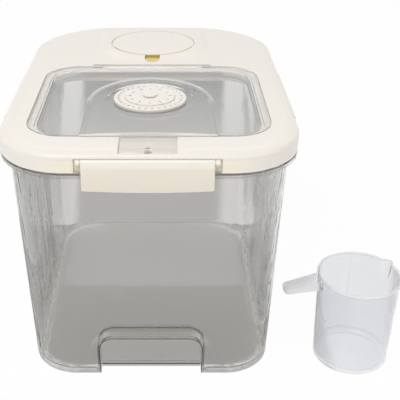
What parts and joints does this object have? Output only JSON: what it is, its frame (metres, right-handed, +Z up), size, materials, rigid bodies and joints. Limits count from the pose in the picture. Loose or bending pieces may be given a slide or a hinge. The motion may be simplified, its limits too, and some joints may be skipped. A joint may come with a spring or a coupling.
{
  "type": "rice storage container",
  "caption": "Clear tapered rice bin with a clasped crowned lid, a flip window with a date dial, a vented drying compartment under a round cap, and a separate measuring cup.",
  "frame": {"origin": "middle of the bin's base, in the plane of its foot ring", "axes": "+Z up, -Y towards the front with the finger recess, +X to the right seen from the front"},
  "size_m": [0.3513, 0.3548, 0.2473],
  "materials": {
    "smoke_plastic": "clear grey, polished",
    "cream_plastic": "satin",
    "silicone": "soft matte",
    "pin_steel": "drawn",
    "cup_plastic": "clear, slightly frosted"
  },
  "bodies": {
    "bin": {"bin_body": "smoke_plastic"},
    "lid": {"lid_frame": "cream_plastic", "lid_seal": "silicone", "window_hinge_pin_left": "pin_steel", "window_hinge_pin_right": "pin_steel", "compartment_basket": "cream_plastic", "front_clasp_pin": "pin_steel", "rear_clasp_pin": "pin_steel", "left_clasp_pin": "pin_steel", "right_clasp_pin": "pin_steel"},
    "window": {"flip_window": "smoke_plastic", "window_seal": "silicone", "dial_hub": "cream_plastic"},
    "day_disc": {"dial_day_disc": "cream_plastic"},
    "month_disc": {"dial_month_disc": "cream_plastic"},
    "front_clasp": {"front_clasp": "cream_plastic"},
    "rear_clasp": {"rear_clasp": "cream_plastic"},
    "left_clasp": {"left_clasp": "cream_plastic"},
    "right_clasp": {"right_clasp": "cream_plastic"},
    "cap": {"compartment_cap": "cream_plastic", "compartment_cap_seal": "silicone"},
    "cup": {"measuring_cup": "cup_plastic"}
  },
  "joints": [
    {"name": "lid_lift", "type": "slide", "parent": "bin", "child": "lid", "axis": [0, 0, 1], "range_m": [0, 0.15]},
    {"name": "window_flip", "type": "hinge", "parent": "lid", "child": "window", "pos_m": [0, 0.0325, 0.2375], "axis": [-1, 0, 0], "range_deg": [0, 100]},
    {"name": "day_disc_turn", "type": "hinge", "parent": "window", "child": "day_disc", "pos_m": [0, -0.06615, 0.2417], "axis": [0, 0, 1], "continuous": true},
    {"name": "month_disc_turn", "type": "hinge", "parent": "window", "child": "month_disc", "pos_m": [0, -0.06615, 0.2417], "axis": [0, 0, 1], "continuous": true},
    {"name": "front_clasp_swing", "type": "hinge", "parent": "lid", "child": "front_clasp", "pos_m": [0, -0.1742, 0.2325], "axis": [-1, 0, 0], "range_deg": [0, 110]},
    {"name": "rear_clasp_swing", "type": "hinge", "parent": "lid", "child": "rear_clasp", "pos_m": [0, 0.1742, 0.2325], "axis": [1, 0, 0], "range_deg": [0, 110]},
    {"name": "left_clasp_swing", "type": "hinge", "parent": "lid", "child": "left_clasp", "pos_m": [-0.1212, -0.032, 0.2325], "axis": [0, 1, 0], "range_deg": [0, 110]},
    {"name": "right_clasp_swing", "type": "hinge", "parent": "lid", "child": "right_clasp", "pos_m": [0.1212, -0.032, 0.2325], "axis": [0, -1, 0], "range_deg": [0, 110]},
    {"name": "cap_lift", "type": "slide", "parent": "lid", "child": "cap", "axis": [0, 0, 1], "range_m": [0, 0.05]},
    {"name": "cup_lift", "type": "slide", "parent": "bin", "child": "cup", "axis": [0, 0, 1], "range_m": [0, 0.26]}
  ]
}
